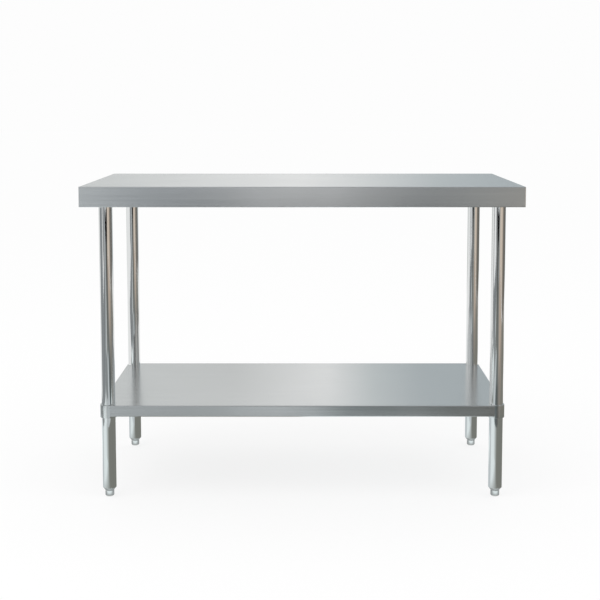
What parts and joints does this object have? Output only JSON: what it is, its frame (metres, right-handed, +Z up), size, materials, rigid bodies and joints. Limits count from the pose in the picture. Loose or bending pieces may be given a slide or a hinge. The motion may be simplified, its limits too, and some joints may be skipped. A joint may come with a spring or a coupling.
{
  "type": "stainless work table",
  "caption": "Free-standing stainless steel work table: folded worktop on round tube legs, an undershelf that slides on the legs, and screw-in levelling feet.",
  "frame": {"origin": "on the floor under the centre of the worktop", "axes": "+X along the width to the right, +Y from front to back, +Z up"},
  "size_m": [1.219, 0.61, 0.88],
  "materials": {
    "brushed_stainless": "brushed stainless sheet",
    "polished_stainless_tube": "polished stainless tube",
    "polished_stainless_collar": "polished stainless casting",
    "galvanised_steel": "galvanised sheet",
    "zinc_plated_steel": "zinc plated",
    "bright_chrome_foot": "bright chrome",
    "deadening_tape": "matte butyl tape"
  },
  "bodies": {
    "frame": {"worktop": "brushed_stainless", "channel_left": "galvanised_steel", "channel_right": "galvanised_steel", "channel_centre": "galvanised_steel", "channel_tape": "deadening_tape", "weld_studs": "zinc_plated_steel", "stud_nuts": "zinc_plated_steel", "leg_socket_front_left": "galvanised_steel", "leg_socket_front_right": "galvanised_steel", "leg_socket_rear_left": "galvanised_steel", "leg_socket_rear_right": "galvanised_steel", "socket_screws": "zinc_plated_steel", "socket_nuts": "zinc_plated_steel", "socket_set_screws": "zinc_plated_steel", "leg_front_left": "polished_stainless_tube", "leg_front_right": "polished_stainless_tube", "leg_rear_left": "polished_stainless_tube", "leg_rear_right": "polished_stainless_tube", "foot_insert_front_left": "polished_stainless_tube", "foot_insert_front_right": "polished_stainless_tube", "foot_insert_rear_left": "polished_stainless_tube", "foot_insert_rear_right": "polished_stainless_tube"},
    "shelf": {"undershelf": "brushed_stainless", "shelf_channel": "galvanised_steel", "shelf_collar_front_left": "polished_stainless_collar", "shelf_collar_front_right": "polished_stainless_collar", "shelf_collar_rear_left": "polished_stainless_collar", "shelf_collar_rear_right": "polished_stainless_collar", "collar_set_screws": "zinc_plated_steel"},
    "levelling_foot_front_left": {"foot_front_left": "bright_chrome_foot", "foot_stud_front_left": "zinc_plated_steel"},
    "levelling_foot_front_right": {"foot_front_right": "bright_chrome_foot", "foot_stud_front_right": "zinc_plated_steel"},
    "levelling_foot_rear_left": {"foot_rear_left": "bright_chrome_foot", "foot_stud_rear_left": "zinc_plated_steel"},
    "levelling_foot_rear_right": {"foot_rear_right": "bright_chrome_foot", "foot_stud_rear_right": "zinc_plated_steel"}
  },
  "joints": [
    {"name": "shelf_slide", "type": "slide", "parent": "frame", "child": "shelf", "axis": [0, 0, 1], "range_m": [-0.19, 0.54]},
    {"name": "foot_screw_front_left", "type": "slide", "parent": "frame", "child": "levelling_foot_front_left", "axis": [0, 0, -1], "range_m": [0, 0.025]},
    {"name": "foot_screw_front_right", "type": "slide", "parent": "frame", "child": "levelling_foot_front_right", "axis": [0, 0, -1], "range_m": [0, 0.025]},
    {"name": "foot_screw_rear_left", "type": "slide", "parent": "frame", "child": "levelling_foot_rear_left", "axis": [0, 0, -1], "range_m": [0, 0.025]},
    {"name": "foot_screw_rear_right", "type": "slide", "parent": "frame", "child": "levelling_foot_rear_right", "axis": [0, 0, -1], "range_m": [0, 0.025]}
  ]
}
